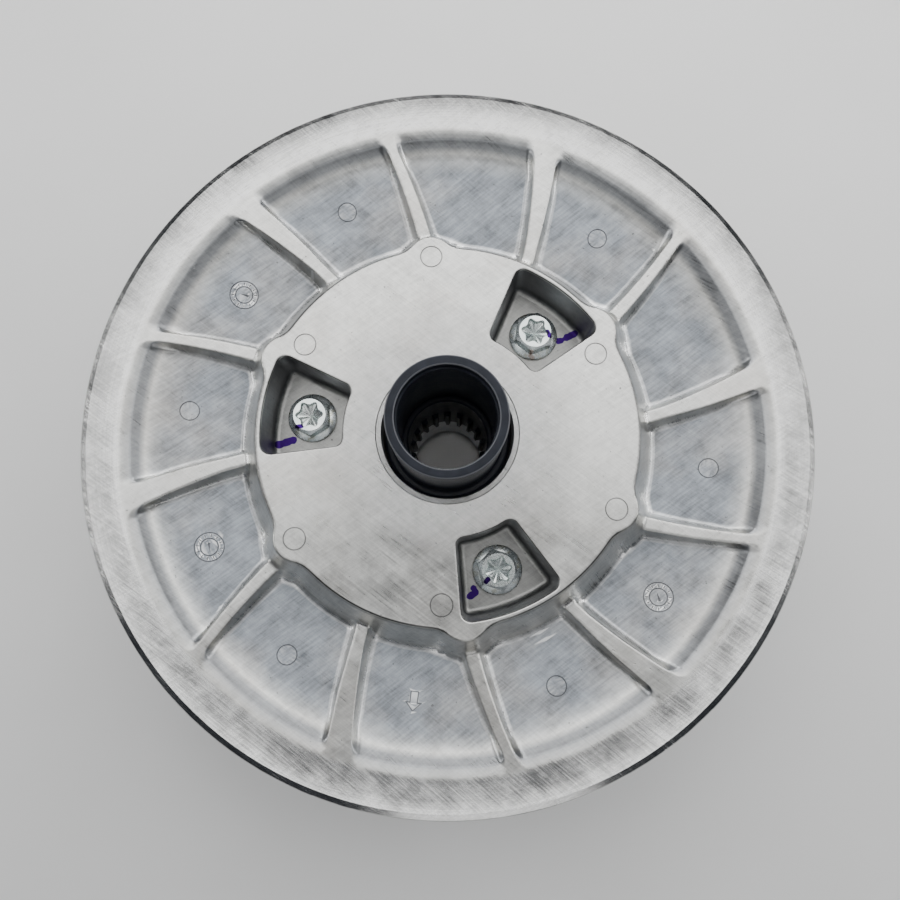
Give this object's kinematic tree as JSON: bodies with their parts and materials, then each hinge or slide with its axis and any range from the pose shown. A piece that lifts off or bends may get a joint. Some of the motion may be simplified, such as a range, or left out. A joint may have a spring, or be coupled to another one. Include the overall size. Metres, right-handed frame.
{
  "type": "driven CVT pulley",
  "caption": "Driven pulley of a belt CVT: ribbed fixed sheave bolted to a splined hub, and a sliding sheave on a roller cam closed by a spring.",
  "frame": {"origin": "on the shaft axis, at the plane of the hub's lower end and the cam's foot", "axes": "+Z along the shaft axis, from the cam towards the ribbed outer face of the fixed sheave; the first roller's radial axis points along +Y"},
  "size_m": [0.26, 0.26, 0.1242],
  "materials": {
    "cast_aluminium": "die-cast, brushed, rim turned",
    "turned_aluminium": "turned belt face, cast back",
    "black_steel": "black oxide, satin",
    "liner_steel": "honed bore",
    "zinc_steel": "bright zinc plate",
    "cam_steel": "hardened, ground ramps",
    "pin_steel": "ground",
    "spring_steel": "shot-peened, oiled",
    "bronze": "sintered bronze",
    "roller_polymer": "moulded nylon"
  },
  "bodies": {
    "fixed_side": {"hub": "black_steel", "pilot_sleeve": "liner_steel", "fixed_sheave": "cast_aluminium", "sheave_bolt_1": "zinc_steel", "sheave_bolt_2": "zinc_steel", "sheave_bolt_3": "zinc_steel", "helix_cam": "cam_steel", "cam_key": "pin_steel", "cam_snap_ring": "spring_steel", "lower_spring_seat": "pin_steel", "closing_spring": "spring_steel"},
    "thrust_washer": {"spring_thrust_washer": "bronze"},
    "sliding_side": {"sliding_sheave": "turned_aluminium", "upper_bushing": "bronze", "lower_bushing": "bronze", "roller_bush_1": "bronze", "roller_bush_2": "bronze", "roller_bush_3": "bronze", "roller_pin_1": "pin_steel", "roller_pin_2": "pin_steel", "roller_pin_3": "pin_steel", "roller_clip_1": "spring_steel", "roller_clip_2": "spring_steel", "roller_clip_3": "spring_steel", "roller_bracket_1": "cam_steel", "roller_bracket_2": "cam_steel", "roller_bracket_3": "cam_steel", "bracket_screw_1": "black_steel", "bracket_screw_2": "black_steel", "bracket_screw_3": "black_steel", "bracket_screw_4": "black_steel", "bracket_screw_5": "black_steel", "bracket_screw_6": "black_steel"},
    "roller_body_1": {"roller_1": "roller_polymer"},
    "roller_body_2": {"roller_2": "roller_polymer"},
    "roller_body_3": {"roller_3": "roller_polymer"}
  },
  "joints": [
    {"name": "sheave_slide", "type": "slide", "parent": "fixed_side", "child": "thrust_washer", "axis": [0, 0, -1], "range_m": [0, 0.02], "stiffness_N_per_m": 9000, "springref_m": -0.03, "deforming": ["closing_spring"]},
    {"name": "helix_turn", "type": "hinge", "parent": "thrust_washer", "child": "sliding_side", "pos_m": [0, 0, 0.05], "axis": [0, 0, 1], "range_deg": [0, 32.5]},
    {"name": "roller_turn_1", "type": "hinge", "parent": "sliding_side", "child": "roller_body_1", "pos_m": [0, 0.0435, 0.03456], "axis": [0, 1, 0], "range_deg": [-230, 0]},
    {"name": "roller_turn_2", "type": "hinge", "parent": "sliding_side", "child": "roller_body_2", "pos_m": [-0.03767, -0.02175, 0.03456], "axis": [-0.866, -0.5, 0], "range_deg": [-230, 0]},
    {"name": "roller_turn_3", "type": "hinge", "parent": "sliding_side", "child": "roller_body_3", "pos_m": [0.03767, -0.02175, 0.03456], "axis": [0.866, -0.5, 0], "range_deg": [-230, 0]}
  ],
  "couplings": [
    {"joint": "helix_turn", "follows": "sheave_slide", "rad_per_m": 27.855},
    {"joint": "roller_turn_1", "follows": "sheave_slide", "rad_per_m": -196.38},
    {"joint": "roller_turn_2", "follows": "sheave_slide", "rad_per_m": -196.38},
    {"joint": "roller_turn_3", "follows": "sheave_slide", "rad_per_m": -196.38}
  ]
}
